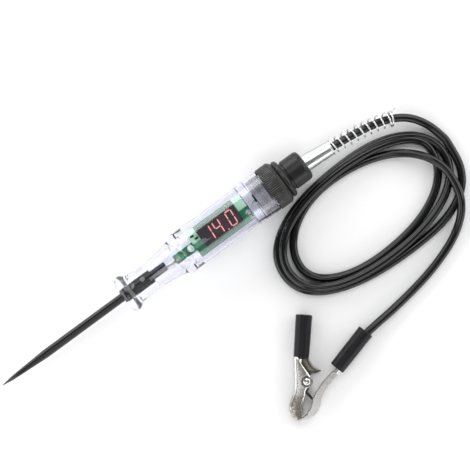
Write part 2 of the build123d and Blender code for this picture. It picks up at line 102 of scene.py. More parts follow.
def turn_points():
    """Points round the coil's turns, each side easing from one station to the next."""
    stations = [station for turn in turns for station in turn]
    powers = [power for turn in fullness for power in turn]
    points = []
    for index in range(len(stations) - 1):
        (x0, y0, z0), (x1, y1, z1) = stations[index], stations[index + 1]
        for step in range(points_per_side):
            angle = pi / 2 * step / points_per_side
            fade, grow = cos(angle) ** powers[index], sin(angle) ** powers[index]
            rise = z0 + (z1 - z0) * (1 - cos(2 * angle)) / 2
            if index % 2 == 1:
                points.append((x0 + (x1 - x0) * grow, y1 + (y0 - y1) * fade, rise))
            else:
                points.append((x1 + (x0 - x1) * fade, y0 + (y1 - y0) * grow, rise))
    points.append(stations[-1])
    return points


def smooth_curve(name, points, radius=0.0):
    """A round cord along one NURBS spline; each point's radius carries the cord's."""
    data = bpy.data.curves.new(name, "CURVE")
    data.dimensions = "3D"
    data.resolution_u = 6
    data.bevel_depth = 1.0
    data.bevel_resolution = 8
    data.use_fill_caps = True
    spline = data.splines.new("NURBS")
    spline.points.add(len(points) - 1)
    for point, place in zip(spline.points, points):
        point.co = (*place, 1.0)
        point.radius = radius
    spline.order_u = 3
    spline.use_endpoint_u = True
    curve = bpy.data.objects.new(name, data)
    bpy.context.scene.collection.objects.link(curve)
    return curve


lead_route = [mm(*p) for p in near_route + turn_points() + over_the_coil + far_route]
test_lead = smooth_curve("test_lead", lead_route, cable_d / 2)
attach(test_lead, "root")
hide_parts("test_lead_near", "test_lead_coil", "test_lead_far")


def line_points(curve):
    """Points along a curve's own spline."""
    bare = curve.copy()
    bare.data = curve.data.copy()
    bare.data.bevel_depth = 0.0
    mesh = bpy.data.meshes.new_from_object(bare)
    points = [v.co.copy() for v in mesh.vertices]
    bpy.data.meshes.remove(mesh)
    spare = bare.data
    bpy.data.objects.remove(bare)
    bpy.data.curves.remove(spare)
    return points


# ------------------------------------------------------------------ the clip's own plane
clip_x, clip_y, clip_mid_z = 29.9, -89.0, 4.0
clip_turn = radians(36.3)
sheet = 0.6                          # how thick the jaws' metal is


def on_clip(x, y, z):
    """A place in the clip's own plane: x and y from its pivot, z up from its middle."""
    across = clip_x + x * cos(clip_turn) + y * sin(clip_turn)
    along = clip_y - x * sin(clip_turn) + y * cos(clip_turn)
    return mm(across, along, clip_mid_z + z)


# ------------------------------------------------------------------ mesh helpers
def new_mesh(name, points, faces):
    """A smooth-shaded mesh object in the scene."""
    mesh = bpy.data.meshes.new(name)
    mesh.from_pydata([tuple(p) for p in points], [], faces)
    mesh.validate()
    mesh.polygons.foreach_set("use_smooth", [True] * len(mesh.polygons))
    piece = bpy.data.objects.new(name, mesh)
    bpy.context.scene.collection.objects.link(piece)
    return piece


def loft(name, rings, sharp_angle):
    """A closed skin through rings of equal length, with a fan closing each end."""
    count = len(rings[0])
    points = [p for painted_shade_round_rivet in rings for p in painted_shade_round_rivet]
    faces = []
    for row in range(len(rings) - 1):
        for i in range(count):
            j = (i + 1) % count
            here, after = row * count, (row + 1) * count
            faces.append((here + i, here + j, after + j, after + i))
    for row, flip in ((0, True), (len(rings) - 1, False)):
        centre = sum(rings[row], Vector()) / count
        points.append(centre)
        hub = len(points) - 1
        for i in range(count):
            j = (i + 1) % count
            a, b = row * count + i, row * count + j
            faces.append((b, a, hub) if flip else (a, b, hub))
    piece = new_mesh(name, points, faces)
    piece.data.set_sharp_from_angle(angle=radians(sharp_angle))
    return piece


def skin(name, rows, around=False):
    """A sheet through rows of equal length; around joins each row's ends, and the last row to the first."""
    count = len(rows[0])
    faces = []
    for row in range(len(rows) if around else len(rows) - 1):
        after = (row + 1) % len(rows)
        for i in range(count if around else count - 1):
            j = (i + 1) % count
            faces.append((row * count + i, row * count + j, after * count + j, after * count + i))
    return new_mesh(name, [p for row in rows for p in row], faces)


def steady_frames(path):
    """For each point of a path: the point, its direction, and two across it that don't twist."""
    frames = []
    across = None
    for i, point in enumerate(path):
        ahead = path[min(i + 1, len(path) - 1)] - path[max(i - 1, 0)]
        ahead.normalize()
        if across is None:
            across = ahead.cross(upwards).normalized()
        across = (across - ahead * across.dot(ahead)).normalized()
        frames.append((point, ahead, across, ahead.cross(across)))
    return frames


def even_path(path, step):
    """The same path with points an even step apart."""
    points = [path[0].copy()]
    spare = 0.0
    for a, b in zip(path, path[1:]):
        run = (b - a).length
        while spare + run >= step and run > 0:
            a = a + (b - a) * ((step - spare) / run)
            points.append(a.copy())
            run = (b - a).length
            spare = 0.0
        spare += run
    return points


def wire(name, path, radius, sides=12):
    """A round wire along a path."""
    rings = []
    for point, ahead, across, up in steady_frames(path):
        angles = [2 * pi * i / sides for i in range(sides)]
        rings.append([point + (across * cos(a) + up * sin(a)) * radius for a in angles])
    return loft(name, rings, sharp_angle=50)


# ------------------------------------------------------------------ material helpers
def shader_tree(name):
    """A new material with an empty tree, its shader already joined to its output."""
    material = bpy.data.materials.new(name)
    material.use_nodes = True
    nodes, links = material.node_tree.nodes, material.node_tree.links
    nodes.clear()
    output = nodes.new("ShaderNodeOutputMaterial")
    shader = nodes.new("ShaderNodeBsdfPrincipled")
    links.new(shader.outputs["BSDF"], output.inputs["Surface"])
    return material, nodes, links, shader, output


def place(nodes):
    """The shaded point, in the object's own frame."""
    return nodes.new("ShaderNodeTexCoord").outputs["Object"]


def noise(nodes, links, where, scale, detail=3.0, roughness=0.55, stretch=None):
    """Noise in object space, scale in features per metre; stretch squeezes it along an axis."""
    if stretch is not None:
        mapping = nodes.new("ShaderNodeMapping")
        mapping.inputs["Scale"].default_value = stretch
        links.new(where, mapping.inputs["Vector"])
        where = mapping.outputs["Vector"]
    node = nodes.new("ShaderNodeTexNoise")
    node.inputs["Scale"].default_value = scale
    node.inputs["Detail"].default_value = detail
    node.inputs["Roughness"].default_value = roughness
    links.new(where, node.inputs["Vector"])
    return node.outputs["Fac"]


def ramp(nodes, links, value, low, high, start=0.35, end=0.65):
    """Value turned into a number between low and high."""
    node = nodes.new("ShaderNodeMapRange")
    node.interpolation_type = "SMOOTHSTEP"
    node.inputs["From Min"].default_value = start
    node.inputs["From Max"].default_value = end
    node.inputs["To Min"].default_value = low
    node.inputs["To Max"].default_value = high
    links.new(value, node.inputs["Value"])
    return node.outputs["Result"]


def blend_colour(nodes, links, factor, a, b):
    """Colour a where factor is 0 and b where it is 1; either may be a colour or a socket."""
    node = nodes.new("ShaderNodeMix")
    node.data_type = "RGBA"
    links.new(factor, node.inputs["Factor"])
    for socket, colour in (("A", a), ("B", b)):
        target = next(s for s in node.inputs if s.name == socket and s.type == "RGBA")
        if isinstance(colour, tuple):
            target.default_value = (*colour, 1.0)
        else:
            links.new(colour, target)
    return next(s for s in node.outputs if s.type == "RGBA")


def calc(nodes, links, operation, a, b=None):
    """One step of arithmetic on sockets or plain numbers."""
    node = nodes.new("ShaderNodeMath")
    node.operation = operation
    for socket, value in zip(node.inputs, (a, b)):
        if value is None:
            continue
        if isinstance(value, (int, float)):
            socket.default_value = value
        else:
            links.new(value, socket)
    return node.outputs["Value"]


def bump(nodes, links, shader, height, strength, distance):
    """Relief from a height socket; distance is how deep it is, in metres."""
    node = nodes.new("ShaderNodeBump")
    node.inputs["Strength"].default_value = strength
    node.inputs["Distance"].default_value = distance
    links.new(height, node.inputs["Height"])
    links.new(node.outputs["Normal"], shader.inputs["Normal"])


def moulded(name, dark, light, rough, *, patch=140, ior=1.5):
    """A surface with slow colour drift, uneven gloss and fine grain; rough is (lowest, highest)."""
    material, nodes, links, shader, _ = shader_tree(name)
    where = place(nodes)
    drift = noise(nodes, links, where, patch)
    grain = noise(nodes, links, where, 2500, detail=4.0)
    links.new(blend_colour(nodes, links, drift, dark, light), shader.inputs["Base Color"])
    uneven = noise(nodes, links, where, patch * 3.1)
    links.new(ramp(nodes, links, uneven, *rough), shader.inputs["Roughness"])
    bump(nodes, links, shader, grain, 0.25, 0.00002)
    shader.inputs["IOR"].default_value = ior
    return material


def coordinates(nodes, links, where):
    """The X, Y and Z of a place, as three sockets."""
    node = nodes.new("ShaderNodeSeparateXYZ")
    links.new(where, node.inputs["Vector"])
    return [node.outputs[axis] for axis in "XYZ"]


# ------------------------------------------------------------------ materials
def needle_steel():
    """Black-oxide steel with fine grinding lines round it and a brighter worn point."""
    material, nodes, links, shader, _ = shader_tree("needle_steel")
    where = place(nodes)
    x = coordinates(nodes, links, where)[0]
    point_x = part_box("probe_needle")[0].x
    worn = ramp(nodes, links, x, 1.0, 0.0, point_x + 1 * MM, point_x + 12 * MM)
    patchy = noise(nodes, links, where, 420, stretch=(0.25, 1, 1))
    base = blend_colour(nodes, links, patchy, (0.005, 0.005, 0.006), (0.014, 0.0135, 0.014))
    links.new(blend_colour(nodes, links, worn, base, (0.10, 0.095, 0.09)), shader.inputs["Base Color"])
    lines = noise(nodes, links, where, 900, detail=2.0, stretch=(6, 0.5, 0.5))
    links.new(ramp(nodes, links, lines, 0.16, 0.27), shader.inputs["Roughness"])
    bump(nodes, links, shader, lines, 0.12, 0.00001)
    shader.inputs["Metallic"].default_value = 0.35
    shader.inputs["Coat Weight"].default_value = 0.2
    shader.inputs["Coat Roughness"].default_value = 0.12
    return material


def clear_moulding():
    """Clear plastic that lets lamps light what is behind it, with faint flow marks and scuffs."""
    material, nodes, links, shader, output = shader_tree("clear_moulding")
    where = place(nodes)
    flow = noise(nodes, links, where, 120, detail=2.0, stretch=(0.35, 1, 1))
    scuffs = noise(nodes, links, where, 1600, detail=5.0, stretch=(0.15, 1, 1))
    shader.inputs["Base Color"].default_value = (0.88, 0.885, 0.955, 1.0)
    links.new(ramp(nodes, links, scuffs, 0.0, 0.02, 0.6, 0.75), shader.inputs["Roughness"])
    bump(nodes, links, shader, flow, 0.2, 0.00001)
    shader.inputs["Transmission Weight"].default_value = 1.0
    shader.inputs["IOR"].default_value = 1.585
    see_through = nodes.new("ShaderNodeBsdfTransparent")
    see_through.inputs["Color"].default_value = (0.93, 0.93, 0.94, 1.0)
    path = nodes.new("ShaderNodeLightPath")
    pick = nodes.new("ShaderNodeMixShader")
    links.new(path.outputs["Is Shadow Ray"], pick.inputs["Fac"])
    links.new(shader.outputs["BSDF"], pick.inputs[1])
    links.new(see_through.outputs["BSDF"], pick.inputs[2])
    links.new(pick.outputs["Shader"], output.inputs["Surface"])
    return material


def milky_lamp():
    """The lamp's diffusing resin, cloudier in some places than in others."""
    material, nodes, links, shader, _ = shader_tree("milky_lamp")
    where = place(nodes)
    cloud = noise(nodes, links, where, 900)
    resin = blend_colour(nodes, links, cloud, (0.62, 0.78, 0.66), (0.88, 0.95, 0.90))
    links.new(resin, shader.inputs["Base Color"])
    links.new(ramp(nodes, links, cloud, 0.08, 0.16), shader.inputs["Roughness"])
    links.new(ramp(nodes, links, cloud, 0.35, 0.15), shader.inputs["Transmission Weight"])
    bump(nodes, links, shader, cloud, 0.1, 0.00001)
    return material


def solder_mask():
    """Green board: copper tracks under the mask, plated vias, and the upper half beside the display painted
    pale mint as a painted reflection.
    """
    material, nodes, links, shader, _ = shader_tree("solder_mask")
    where = place(nodes)
    tracks = nodes.new("ShaderNodeTexBrick")
    tracks.inputs["Scale"].default_value = 190
    tracks.inputs["Mortar Size"].default_value = 0.018
    tracks.inputs["Mortar Smooth"].default_value = 0.3
    tracks.offset = 0.37
    links.new(where, tracks.inputs["Vector"])
    cells = nodes.new("ShaderNodeTexVoronoi")
    cells.inputs["Scale"].default_value = 260
    cells.inputs["Randomness"].default_value = 0.75
    links.new(where, cells.inputs["Vector"])
    via = ramp(nodes, links, cells.outputs["Distance"], 1.0, 0.0, 0.09, 0.12)
    drift = noise(nodes, links, where, 300)
    mask = blend_colour(nodes, links, drift, (0.0, 0.125, 0.042), (0.0, 0.190, 0.066))
    routed = blend_colour(nodes, links, tracks.outputs["Fac"], mask, (0.002, 0.25, 0.09))
    x, y, _ = coordinates(nodes, links, where)
    display_low, display_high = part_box("display_case")
    display_x = (display_low.x + display_high.x) / 2
    display_half = (display_high.x - display_low.x) / 2
    from_display = calc(nodes, links, "ABSOLUTE", calc(nodes, links, "SUBTRACT", x, display_x))
    soft_edge = 0.6 * MM
    tongue_x = display_low.x - 5.2 * MM
    # Painted reflection: pale mint on the board's upper half beside the display, past the tongue, stands in
    # for light reflected by the housing.
    beside = ramp(nodes, links, from_display, 0.0, 1.0, display_half, display_half + soft_edge)
    upper = ramp(nodes, links, y, 0.0, 1.0, 0.0, soft_edge)
    past_tongue = ramp(nodes, links, x, 0.0, 1.0, tongue_x, tongue_x + soft_edge)
    painted_reflection_area = calc(nodes, links, "MULTIPLY", calc(nodes, links, "MULTIPLY", beside, upper), past_tongue)
    painted_reflection_strength = calc(nodes, links, "MULTIPLY", painted_reflection_area, 0.92)
    board_with_painted_reflection = blend_colour(nodes, links, painted_reflection_strength, routed, (0.56, 0.88, 0.62))
    links.new(blend_colour(nodes, links, via, board_with_painted_reflection, (0.45, 0.42, 0.30)), shader.inputs["Base Color"])
    links.new(ramp(nodes, links, via, 0.22, 0.35, 0.0, 1.0), shader.inputs["Roughness"])
    raised = calc(nodes, links, "SUBTRACT", tracks.outputs["Fac"], via)
    bump(nodes, links, shader, raised, 0.35, 0.00003)
    shader.inputs["Coat Weight"].default_value = 0.4
    return material


def display_face():
    """Dark tinted face with a faint red bloom round the lit figures."""
    material, nodes, links, shader, _ = shader_tree("display_face")
    where = place(nodes)
    low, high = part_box("display_digits")
    heart = (low + high) / 2
    offset = nodes.new("ShaderNodeVectorMath")
    offset.operation = "SUBTRACT"
    offset.inputs[1].default_value = heart
    links.new(where, offset.inputs[0])
    squeeze = nodes.new("ShaderNodeVectorMath")
    squeeze.operation = "MULTIPLY"
    squeeze.inputs[1].default_value = (0.75, 1.3, 0.0)
    links.new(offset.outputs["Vector"], squeeze.inputs[0])
    reach = nodes.new("ShaderNodeVectorMath")
    reach.operation = "LENGTH"
    links.new(squeeze.outputs["Vector"], reach.inputs[0])
    glow = ramp(nodes, links, reach.outputs["Value"], 1.0, 0.0, 0.001, 0.0085)
    speck = noise(nodes, links, where, 3000)
    tinted = blend_colour(nodes, links, speck, (0.006, 0.005, 0.006), (0.014, 0.011, 0.012))
    links.new(tinted, shader.inputs["Base Color"])
    links.new(ramp(nodes, links, speck, 0.28, 0.4), shader.inputs["Roughness"])
    bump(nodes, links, shader, speck, 0.1, 0.00001)
    shader.inputs["Emission Color"].default_value = (0.5, 0.03, 0.02, 1.0)
    links.new(calc(nodes, links, "MULTIPLY", glow, 0.05), shader.inputs["Emission Strength"])
    return material


def lit_stroke():
    """Light-emitting strokes, mottled between red and pinkish white."""
    material, nodes, links, shader, _ = shader_tree("lit_stroke")
    where = place(nodes)
    speck = noise(nodes, links, where, 1800)
    colour = blend_colour(nodes, links, speck, (1.0, 0.44, 0.40), (1.0, 0.66, 0.62))
    shader.inputs["Base Color"].default_value = (0.5, 0.1, 0.1, 1.0)
    links.new(colour, shader.inputs["Emission Color"])
    shader.inputs["Emission Strength"].default_value = 0.6
    links.new(ramp(nodes, links, speck, 0.3, 0.45), shader.inputs["Roughness"])
    return material


def twisted_gilt():
    """Gilt wire with the lay of its strands."""
    material, nodes, links, shader, _ = shader_tree("twisted_gilt")
    where = place(nodes)
    lay = nodes.new("ShaderNodeTexWave")
    lay.bands_direction = "DIAGONAL"
    lay.inputs["Scale"].default_value = 900
    links.new(where, lay.inputs["Vector"])
    links.new(blend_colour(nodes, links, lay.outputs["Fac"], (0.16, 0.11, 0.06), (0.66, 0.54, 0.34)),
              shader.inputs["Base Color"])
    links.new(ramp(nodes, links, lay.outputs["Fac"], 0.4, 0.22), shader.inputs["Roughness"])
    bump(nodes, links, shader, lay.outputs["Fac"], 0.8, 0.0001)
    shader.inputs["Metallic"].default_value = 1.0
    return material


def cable_jacket():
    """Glossy soft PVC with a faint ripple and dust."""
    material, nodes, links, shader, _ = shader_tree("cable_jacket")
    where = place(nodes)
    dust = noise(nodes, links, where, 700, detail=5.0)
    ripple = noise(nodes, links, where, 260, detail=2.0)
    drift = noise(nodes, links, where, 60)
    base = blend_colour(nodes, links, drift, (0.0028, 0.0028, 0.0032), (0.006, 0.006, 0.0066))
    dusty = ramp(nodes, links, dust, 0.0, 0.5, 0.62, 0.78)
    links.new(blend_colour(nodes, links, dusty, base, (0.020, 0.020, 0.021)), shader.inputs["Base Color"])
    links.new(ramp(nodes, links, dust, 0.12, 0.22), shader.inputs["Roughness"])
    bump(nodes, links, shader, ripple, 0.2, 0.00004)
    shader.inputs["IOR"].default_value = 1.5
    return material


def plated(name, dark, light, rough, brushed=(1, 1, 1), scratches=0.1):
    """Plated metal with brushing along one direction and a few deeper scratches."""
    material, nodes, links, shader, _ = shader_tree(name)
    where = place(nodes)
    cloud = noise(nodes, links, where, 180, detail=4.0)
    lines = noise(nodes, links, where, 1500, detail=3.0, stretch=brushed)
    links.new(blend_colour(nodes, links, cloud, dark, light), shader.inputs["Base Color"])
    links.new(ramp(nodes, links, lines, *rough), shader.inputs["Roughness"])
    bump(nodes, links, shader, lines, scratches, 0.000004)
    shader.inputs["Metallic"].default_value = 1.0
    return material


def clip_places(nodes, links, where):
    """Sockets for a place's x and y from the clip's pivot, its distance from the pivot, and its height."""
    x, y, z = coordinates(nodes, links, where)
    from_x = calc(nodes, links, "SUBTRACT", x, clip_x * MM)
    from_y = calc(nodes, links, "SUBTRACT", y, clip_y * MM)

    def turned(a, b, operation):
        """One of the clip's own coordinates, from the two along the frame's axes."""
        return calc(nodes, links, operation, calc(nodes, links, "MULTIPLY", from_x, a),
                    calc(nodes, links, "MULTIPLY", from_y, b))

    local_x = turned(cos(clip_turn), sin(clip_turn), "SUBTRACT")
    local_y = turned(sin(clip_turn), cos(clip_turn), "ADD")
    squares = [calc(nodes, links, "MULTIPLY", side, side) for side in (local_x, local_y)]
    return local_x, local_y, calc(nodes, links, "SQRT", calc(nodes, links, "ADD", *squares)), z


def clip_nickel(name, is_moving):
    """Nickel plate with grime on the moving jaw's teeth, painted shade on its lower part and in a ring round
    the rivet head, and painted shade on the fixed jaw where it lies inside the moving jaw's channel.
    """
    material, nodes, links, shader, _ = shader_tree(name)
    where = place(nodes)
    x, y, distance, z = clip_places(nodes, links, where)
    cloud = noise(nodes, links, where, 240, detail=4.0)
    colour = blend_colour(nodes, links, cloud, (0.68, 0.66, 0.63), (0.82, 0.80, 0.78))
    stain = noise(nodes, links, where, 700, detail=4.0)
    if is_moving:
        # Painted shade: a dark ring round the rivet head, in the gap between the head and the jaw.
        past_rivet = ramp(nodes, links, distance, 0.0, 1.0, 1.7 * MM, 2.0 * MM)
        near_rivet = ramp(nodes, links, distance, 0.85, 0.0, 2.6 * MM, 3.2 * MM)
        painted_shade_round_rivet = calc(nodes, links, "MULTIPLY", past_rivet, near_rivet)
        teeth = ramp(nodes, links, y, 0.85, 0.0, -8.5 * MM, -5.5 * MM)
        patchy = calc(nodes, links, "MULTIPLY", teeth, ramp(nodes, links, stain, 0.45, 1.0))
        # Painted shade: the jaw's lower part, its lower flange, is painted dark where shade falls under the
        # upper flange.
        painted_shade_low = ramp(nodes, links, z, 0.9, 0.0, 2.5 * MM, 4.8 * MM)
        colour = blend_colour(nodes, links, patchy, colour, (0.20, 0.165, 0.13))
        colour = blend_colour(nodes, links, painted_shade_low, colour, (0.10, 0.09, 0.065))
        colour = blend_colour(nodes, links, painted_shade_round_rivet, colour, (0.10, 0.08, 0.07))
    else:
        # Painted shade: the fixed jaw is painted near black where it lies inside the moving jaw's channel.
        inside = ramp(nodes, links, x, 1.0, 0.0, 2.8 * MM, 3.4 * MM)
        above_mouth = ramp(nodes, links, y, 0.0, 1.0, -11.2 * MM, -10.4 * MM)
        painted_shade_in_channel = calc(nodes, links, "MULTIPLY", inside, above_mouth)
        colour = blend_colour(nodes, links, painted_shade_in_channel, colour, (0.05, 0.045, 0.04))
    links.new(colour, shader.inputs["Base Color"])
    links.new(ramp(nodes, links, stain, 0.25, 0.33), shader.inputs["Roughness"])
    bump(nodes, links, shader, stain, 0.1, 0.00001)
    shader.inputs["Metallic"].default_value = 1.0
    return material


def cap_plastic():
    """Satin black moulding, its flutes' crests painted lighter as finger wear and a painted highlight, and
    its neck painted paler as a painted reflection.
    """
    material, nodes, links, shader, _ = shader_tree("cap_plastic")
    where = place(nodes)
    x, y, z = coordinates(nodes, links, where)
    high = calc(nodes, links, "SUBTRACT", z, axis_z)
    squares = [calc(nodes, links, "MULTIPLY", side, side) for side in (y, high)]
    radius = calc(nodes, links, "SQRT", calc(nodes, links, "ADD", *squares))
    knurl_r, worn_depth = (tool_high.z - tool_low.z) / 2, 0.09 * MM
    # The crests are painted lighter: partly finger wear, partly a painted highlight that makes the flutes
    # show.
    crest_wear_and_highlight = ramp(nodes, links, radius, 0.0, 1.0, knurl_r - worn_depth, knurl_r)
    neck_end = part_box("clear_housing")[1].x
    soft_edge = 0.3 * MM
    patchy = ramp(nodes, links, noise(nodes, links, where, 350, detail=4.0), 0.25, 0.75)
    worn = calc(nodes, links, "MULTIPLY", crest_wear_and_highlight, patchy)
    drift = noise(nodes, links, where, 90)
    base = blend_colour(nodes, links, drift, (0.005, 0.005, 0.005), (0.010, 0.0095, 0.009))
    outside = blend_colour(nodes, links, worn, base, (0.14, 0.137, 0.131))
    # Painted reflection: the neck inside the clear collar is painted pale grey in streaks, standing in for
    # light the collar reflects and bends onto it.
    painted_reflection_streaks = ramp(nodes, links, noise(nodes, links, where, 260, detail=4.0, stretch=(0.3, 1, 1)), 0.55, 1.0)
    in_collar = ramp(nodes, links, x, 1.0, 0.0, neck_end - soft_edge, neck_end)
    painted_reflection_on_neck = calc(nodes, links, "MULTIPLY", in_collar, painted_reflection_streaks)
    links.new(blend_colour(nodes, links, painted_reflection_on_neck, outside, (0.27, 0.27, 0.28)), shader.inputs["Base Color"])
    links.new(ramp(nodes, links, noise(nodes, links, where, 900), 0.29, 0.39), shader.inputs["Roughness"])
    bump(nodes, links, shader, noise(nodes, links, where, 5200, detail=3.0), 0.2, 0.00001)
    shader.inputs["Specular IOR Level"].default_value = 0.38
    return material


paint = {
    "needle": needle_steel(),
    "housing": clear_moulding(),
    "lamp": milky_lamp(),
    "board": solder_mask(),
    "face": display_face(),
    "lit": lit_stroke(),
    "gilt": twisted_gilt(),
    "jacket": cable_jacket(),
    "cap": cap_plastic(),
    "rubber": moulded("seal_rubber", (0.010, 0.010, 0.010), (0.02, 0.02, 0.02), (0.5, 0.65)),
    "chip": moulded("chip_epoxy", (0.012, 0.012, 0.013), (0.022, 0.022, 0.024), (0.45, 0.6)),
    "resistor": moulded("chip_resistor", (0.02, 0.02, 0.022), (0.05, 0.05, 0.055), (0.25, 0.4)),
    "tin": plated("tinned", (0.62, 0.62, 0.63), (0.85, 0.85, 0.86), (0.18, 0.34)),
    "copper": plated("bare_copper", (0.55, 0.25, 0.13), (0.85, 0.48, 0.30), (0.25, 0.4), (0.2, 1, 1), 0.6),
    "ferrule": plated("bright_plate", (0.56, 0.58, 0.58), (0.72, 0.73, 0.73), (0.24, 0.34), (0.15, 1, 1)),
    "spring": plated("spring_wire", (0.66, 0.66, 0.67), (0.84, 0.84, 0.84), (0.16, 0.28)),
    "jaw": clip_nickel("moving_jaw_nickel", True),
    "lever": clip_nickel("fixed_lever_nickel", False),
    "rivet": plated("rivet_nickel", (0.80, 0.79, 0.77), (0.93, 0.92, 0.90), (0.16, 0.24)),
    "sleeve": moulded("dipped_sleeve", (0.006, 0.0055, 0.0065), (0.013, 0.012, 0.014), (0.30, 0.42),
                      patch=220, ior=1.33),
}


def cover(piece, material):
    """Gives a piece one material."""
    piece.data.materials.clear()
    piece.data.materials.append(material)


finishes = {
    "probe_needle": "needle", "clear_housing": "housing", "circuit_board": "board", "display_case": "face",
    "display_digits": "lit", "display_pins": "tin", "indicator_lamp": "lamp", "control_chip": "chip",
    "board_resistors": "resistor", "clamp_diodes": "chip", "solder_joints": "tin", "rear_cap": "cap",
    "cap_seal_ring": "rubber", "strain_relief_ferrule": "ferrule", "lead_clamp": "tin",
    "lead_tail": "jacket", "lead_core": "tin", "clip_fixed_jaw": "lever", "clip_spring": "spring",
    "clip_lead_core": "copper",
}
for node, finish in finishes.items():
    cover(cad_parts[node], paint[finish])
cover(test_lead, paint["jacket"])

# ------------------------------------------------------------------ strain-relief spring
spring_mean_r, spring_wire_r = 3.68 * MM, 0.42 * MM
start_turns, open_turns, closed_turns = 0.9, 8.6, 1.6
close_pitch, spring_pitch = 2.1 * spring_wire_r, 3.85 * MM
steps_per_turn = 28
path_step = 0.2 * MM
path_steps = 400                     # how much of the lead the spring could need
ferrule_grip = 1.2 * MM
start_angle = radians(200)
tail_steps, tail_out, tail_ahead = 5, 0.42 * MM, 0.07 * MM


def spring_line():
    """The spring's wire: a closed turn on the ferrule, open turns, closed turns and a hooked tail."""
    start_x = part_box("strain_relief_ferrule")[1].x - ferrule_grip
    path = [p for p in even_path(line_points(test_lead), path_step) if start_x <= p.x]
    frames = steady_frames(path[:path_steps])
    points = []
    travelled, turned = 0.0, 0.0
    total = start_turns + open_turns + closed_turns
    for _ in range(int(total * steps_per_turn)):
        index = min(int(travelled / path_step), len(frames) - 2)
        part = travelled / path_step - index
        point, ahead, across, up = frames[index]
        beyond = frames[index + 1][0]
        centre = point.lerp(beyond, part)
        angle = 2 * pi * turned + start_angle
        points.append(centre + (across * cos(angle) + up * sin(angle)) * spring_mean_r)
        turned += 1 / steps_per_turn
        in_middle = start_turns <= turned <= start_turns + open_turns
        travelled += (spring_pitch if in_middle else close_pitch) / steps_per_turn
    last = points[-1]
    out = (last - centre).normalized()
    for bend in range(1, tail_steps + 1):
        points.append(last + out * tail_out * bend + ahead * tail_ahead * bend ** 2)
    return points


relief_spring = wire("relief_spring_coil", spring_line(), spring_wire_r, sides=14)
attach(relief_spring, "root")
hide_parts("strain_relief_spring")
cover(relief_spring, paint["spring"])

# ------------------------------------------------------------------ needle's twisted lead
gilt_line = smooth_curve("gilt_line", [mm(*p) for p in (
    (7.6, -0.8, 11.9), (9.2, -1.1, 12.1), (11.2, -1.25, 13.2), (13.6, -1.3, 13.85), (16.2, -1.3, 13.5),
)])
gilt_step = 0.1 * MM
gilt_path = even_path(line_points(gilt_line), gilt_step)
bpy.data.objects.remove(gilt_line)
strand_r, strand_lay, strand_pitch = 0.36 * MM, 0.34 * MM, 2.8 * MM
for strand, phase in (("gilt_strand_one", 0.0), ("gilt_strand_two", pi)):
    points = []
    for i, (point, _, across, up) in enumerate(steady_frames(gilt_path)):
        angle = phase + 2 * pi * i * gilt_step / strand_pitch
        points.append(point + (across * cos(angle) + up * sin(angle)) * strand_lay)
    twisted = wire(strand, points, strand_r, sides=10)
    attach(twisted, "root")
    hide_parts("needle_lead")
    cover(twisted, paint["gilt"])

# ------------------------------------------------------------------ clip
# The moving jaw from its tip to its sleeve: y, then the x of its back, of its upper edge and of its lower.
jaw_stations = [
    (-19.6, -4.9, -4.2, -4.2), (-19.0, -6.0, -2.9, -2.9), (-18.2, -6.8, -1.6, -1.6),
    (-17.3, -7.5, -2.3, -2.3), (-16.6, -7.85, -1.4, -1.4), (-15.6, -8.3, -2.4, -2.4),
    (-14.8, -8.5, -1.6, -1.6), (-13.8, -8.65, -2.7, -2.7), (-12.9, -8.7, -2.1, -2.1),
    (-12.0, -8.6, -3.0, -3.0), (-11.0, -8.35, -1.9, -1.9), (-10.2, -8.1, -2.5, -2.5),
    (-9.4, -7.85, -1.3, -1.3), (-8.6, -7.5, -1.6, -1.6), (-7.6, -7.1, -0.8, -0.8),
    (-5.0, -6.25, -0.8, -0.8), (-3.4, -6.1, 0.1, 0.1), (-2.4, -6.05, 1.9, 1.9),
    (-1.3, -6.05, 2.8, 2.8), (0.0, -6.05, 3.1, 3.1), (1.3, -6.05, 2.8, 2.8),
    (2.4, -6.1, 2.0, 2.1), (3.4, -6.1, 1.4, 2.2), (4.2, -6.1, 0.8, 6.0),
    (5.0, -6.15, 0.2, 7.6), (5.8, -6.2, -0.4, 5.7), (7.0, -6.2, -1.25, 3.9),
    (8.6, -6.25, -2.4, 2.7), (11.0, -6.3, -3.9, 1.3), (12.4, -6.3, -4.4, 0.9),
]
jaw_half_height, jaw_round = 3.55, 1.4
flange_droop = 0.3                   # the flanges' edges lean in by this much
flange_parts = (1.0, 0.75, 0.5, 0.25)
corner_steps = 5


def jaw_row(y, back, upper, lower):
    """Round the channel at one station: in along the upper flange, round the back and out along the lower."""
    row = []
    for edge, side in ((upper, 1), (lower, -1)):
        bend = min(jaw_round, (edge - back) * 0.6)
        flange = [
            (back + bend + (edge - back - bend) * part, jaw_half_height - flange_droop * part ** 2)
            for part in flange_parts
        ]
        corner = [
            (back + bend * (1 - sin(a)), jaw_half_height - bend * (1 - cos(a)))
            for a in [pi / 2 * i / corner_steps for i in range(corner_steps + 1)]
        ]
        half = [on_clip(x, y, side * z) for x, z in flange + corner]
        row += half if side > 0 else half[::-1]
    return row


def pressed(piece, thickness):
    """Gives a sheet its thickness, inwards."""
    solid = piece.modifiers.new("thickness", "SOLIDIFY")
    solid.thickness = thickness * MM
    solid.offset = 1.0


def tab_rows(start, end, radius):
    """Half a tube along a handle, its hollow side towards the other handle."""
    a, b = on_clip(*start, 0), on_clip(*end, 0)
    across = (b - a).normalized().cross(upwards)
    spokes = [across * cos(t) + upwards * sin(t) for t in [pi / 2 + pi * i / 16 for i in range(17)]]
    return [[a.lerp(b, part) + spoke * radius * MM for spoke in spokes] for part in (0.0, 0.5, 1.0)]


